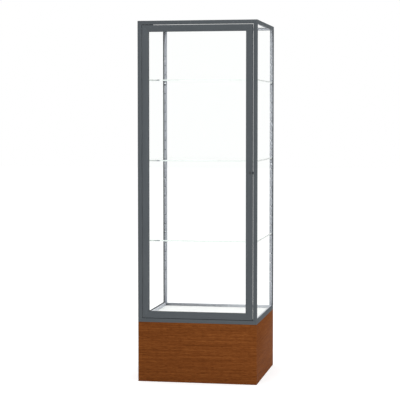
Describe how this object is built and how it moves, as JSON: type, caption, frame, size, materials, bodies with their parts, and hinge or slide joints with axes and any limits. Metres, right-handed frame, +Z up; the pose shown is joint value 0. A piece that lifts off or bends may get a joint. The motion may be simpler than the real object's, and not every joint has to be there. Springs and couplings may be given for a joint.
{
  "type": "glass display case",
  "caption": "Tall square glass display case with a grey aluminium frame on a wood-grain plinth, a hinged lockable glass door and glass shelves on clips in slotted standards.",
  "frame": {"origin": "centre of the footprint on the floor", "axes": "+Z up, -Y towards the door at the front, +X towards the lock side"},
  "size_m": [0.6096, 0.6096, 1.8288],
  "materials": {
    "frame_paint": "satin graphite powder coat",
    "natural_aluminium": "satin anodised",
    "clear_glass": "polished clear",
    "wood_laminate": "satin wood-grain laminate",
    "raw_wood": "planed softwood",
    "deck_white": "matte white laminate",
    "black_rubber": "matte",
    "steel": "zinc plated",
    "nylon": "natural nylon",
    "lock_black": "black",
    "lock_nickel": "black nickel plated"
  },
  "bodies": {
    "case": {"base_back_panel": "wood_laminate", "base_corner_blocks": "raw_wood", "base_front_panel": "wood_laminate", "base_left_panel": "wood_laminate", "base_right_panel": "wood_laminate", "base_screws": "steel", "bottom_beads": "natural_aluminium", "bottom_rail_back": "frame_paint", "bottom_rail_front": "frame_paint", "bottom_rail_left": "frame_paint", "bottom_rail_right": "frame_paint", "deck_cleats": "raw_wood", "deck_panel": "deck_white", "frame_screws": "steel", "front_header": "frame_paint", "front_threshold": "frame_paint", "glass_back": "clear_glass", "glass_left": "clear_glass", "glass_right": "clear_glass", "glass_top": "clear_glass", "glazing_gaskets": "black_rubber", "hinge_frame_leaves": "lock_black", "hinge_frame_screws": "steel", "hinge_gap_strip": "frame_paint", "hinge_pins": "steel", "hinge_washers": "nylon", "leveler_inserts": "steel", "post_back_left": "frame_paint", "post_back_right": "frame_paint", "post_front_left": "frame_paint", "post_front_right": "frame_paint", "post_plugs": "natural_aluminium", "shelf_clips": "steel", "standard_left": "natural_aluminium", "standard_right": "natural_aluminium", "standard_screws": "steel", "top_beads": "natural_aluminium", "top_rail_back": "frame_paint", "top_rail_front": "frame_paint", "top_rail_left": "frame_paint", "top_rail_right": "frame_paint"},
    "door": {"door_corner_keys": "natural_aluminium", "door_gasket": "black_rubber", "door_glass": "clear_glass", "door_rail_bottom": "frame_paint", "door_rail_top": "frame_paint", "door_stile_left": "frame_paint", "door_stile_right": "frame_paint", "hinge_door_leaves": "lock_black", "hinge_door_screws": "steel", "lock_housing": "lock_black"},
    "lock_plug": {"lock_plug": "lock_nickel"},
    "lock_bolt": {"lock_bolt": "lock_black"},
    "shelf_lower": {"shelf_lower": "clear_glass"},
    "shelf_middle": {"shelf_middle": "clear_glass"},
    "shelf_upper": {"shelf_upper": "clear_glass"},
    "leveler_back_left": {"leveler_back_left": "steel"},
    "leveler_back_right": {"leveler_back_right": "steel"},
    "leveler_front_left": {"leveler_front_left": "steel"},
    "leveler_front_right": {"leveler_front_right": "steel"}
  },
  "joints": [
    {"name": "door_swing", "type": "hinge", "parent": "case", "child": "door", "pos_m": [-0.26883, -0.29528, 1.0667], "axis": [0, 0, -1], "range_deg": [0, 110]},
    {"name": "key_turn", "type": "hinge", "parent": "door", "child": "lock_plug", "pos_m": [0.27008, -0.3, 1.0667], "axis": [0, 1, 0], "range_deg": [0, 90]},
    {"name": "bolt_throw", "type": "slide", "parent": "door", "child": "lock_bolt", "axis": [1, 0, 0], "range_m": [0, 0.00566]},
    {"name": "shelf_lower_lift", "type": "slide", "parent": "case", "child": "shelf_lower", "axis": [0, 0, 1], "range_m": [0, 0.04]},
    {"name": "shelf_middle_lift", "type": "slide", "parent": "case", "child": "shelf_middle", "axis": [0, 0, 1], "range_m": [0, 0.04]},
    {"name": "shelf_upper_lift", "type": "slide", "parent": "case", "child": "shelf_upper", "axis": [0, 0, 1], "range_m": [0, 0.04]},
    {"name": "leveler_back_left_wind", "type": "slide", "parent": "case", "child": "leveler_back_left", "axis": [0, 0, -1], "range_m": [0, 0.012]},
    {"name": "leveler_back_right_wind", "type": "slide", "parent": "case", "child": "leveler_back_right", "axis": [0, 0, -1], "range_m": [0, 0.012]},
    {"name": "leveler_front_left_wind", "type": "slide", "parent": "case", "child": "leveler_front_left", "axis": [0, 0, -1], "range_m": [0, 0.012]},
    {"name": "leveler_front_right_wind", "type": "slide", "parent": "case", "child": "leveler_front_right", "axis": [0, 0, -1], "range_m": [0, 0.012]}
  ],
  "couplings": [
    {"joint": "key_turn", "follows": "bolt_throw", "rad_per_m": 277.67}
  ]
}
